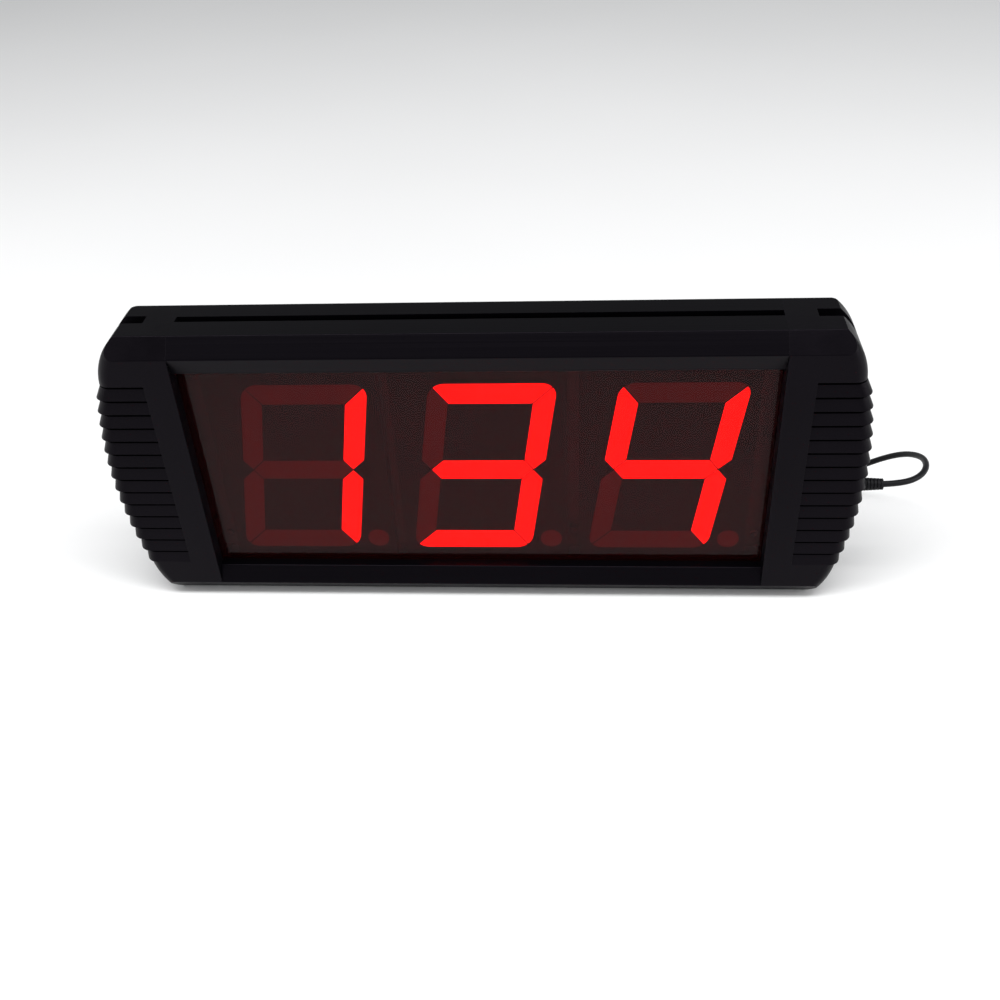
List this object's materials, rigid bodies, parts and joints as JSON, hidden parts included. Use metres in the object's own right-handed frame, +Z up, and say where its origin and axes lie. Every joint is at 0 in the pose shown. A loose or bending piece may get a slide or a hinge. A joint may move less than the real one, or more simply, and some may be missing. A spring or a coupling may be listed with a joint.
{
  "type": "gym round timer",
  "caption": "Wall or table timer: slim black aluminium rails between ribbed plastic end caps, large red segment digits behind a dark red lens, plug-in power lead.",
  "frame": {"origin": "on the floor under the middle of the housing, the lead left out", "axes": "+X along the housing to its power inlet end, -Y out of the display, +Z up"},
  "size_m": [0.5265, 0.12, 0.196],
  "materials": {
    "anodised_rail": "black satin anodised extrusion",
    "cap_plastic": "black moulded, fine texture",
    "lens_acrylic": "clear dark red acrylic",
    "panel_plastic": "black sheet, satin",
    "digit_housing": "black",
    "lit_diffuser": "lit red diffuser",
    "dark_diffuser": "unlit red diffuser",
    "led": "chip package",
    "zinc_screw": "zinc plated",
    "black_screw": "black oxide",
    "brass": "plain",
    "tinned_pin": "tinned",
    "board": "green solder mask",
    "mask_board": "matt black solder mask",
    "chip_black": "moulded epoxy",
    "black_plastic": "moulded",
    "white_plastic": "moulded",
    "steel_can": "drawn can",
    "sleeve": "shrink sleeve",
    "wire_insulation": "thin insulation",
    "cord_jacket": "flexible jacket, satin",
    "soft_black": "moulded soft plastic",
    "tie": "hook and loop strap",
    "adapter_shell": "moulded shell, lightly textured"
  },
  "bodies": {
    "housing": {"back_panel": "panel_plastic", "back_panel_screws": "black_screw", "board_header": "black_plastic", "board_spacers": "brass", "bottom_rail": "anodised_rail", "buzzer": "black_plastic", "cell_holder": "black_plastic", "clock_cell": "steel_can", "clock_crystal": "steel_can", "control_board": "board", "control_board_screws": "zinc_screw", "control_board_standoffs": "brass", "decimal_points": "dark_diffuser", "digit_pins": "tinned_pin", "display_board": "mask_board", "display_board_screws": "black_screw", "end_cap_screws": "zinc_screw", "front_lens": "lens_acrylic", "infrared_receiver": "chip_black", "inlet_jack": "black_plastic", "inlet_pin": "tinned_pin", "lead_connector": "white_plastic", "led_chips": "led", "left_digit_dark_bars": "dark_diffuser", "left_digit_housing": "digit_housing", "left_digit_lit_bars": "lit_diffuser", "left_end_cap": "cap_plastic", "microcontroller": "chip_black", "middle_digit_dark_bars": "dark_diffuser", "middle_digit_housing": "digit_housing", "middle_digit_lit_bars": "lit_diffuser", "power_leads": "wire_insulation", "right_digit_dark_bars": "dark_diffuser", "right_digit_housing": "digit_housing", "right_digit_lit_bars": "lit_diffuser", "right_end_cap": "cap_plastic", "segment_drivers": "chip_black", "supply_capacitor": "sleeve", "top_rail": "anodised_rail", "voltage_regulator": "chip_black"},
    "plug_and_lead": {"plug_body": "soft_black", "plug_barrel": "tinned_pin", "plug_strain_relief": "soft_black", "power_cord": "cord_jacket", "cord_coil": "cord_jacket", "cord_ties": "tie", "cord_tail": "cord_jacket", "adapter_strain_relief": "soft_black", "power_adapter": "adapter_shell", "adapter_blades": "brass"}
  },
  "joints": [
    {"name": "plug_pull", "type": "slide", "parent": "housing", "child": "plug_and_lead", "axis": [1, 0, 0], "range_m": [0, 0.01]}
  ]
}
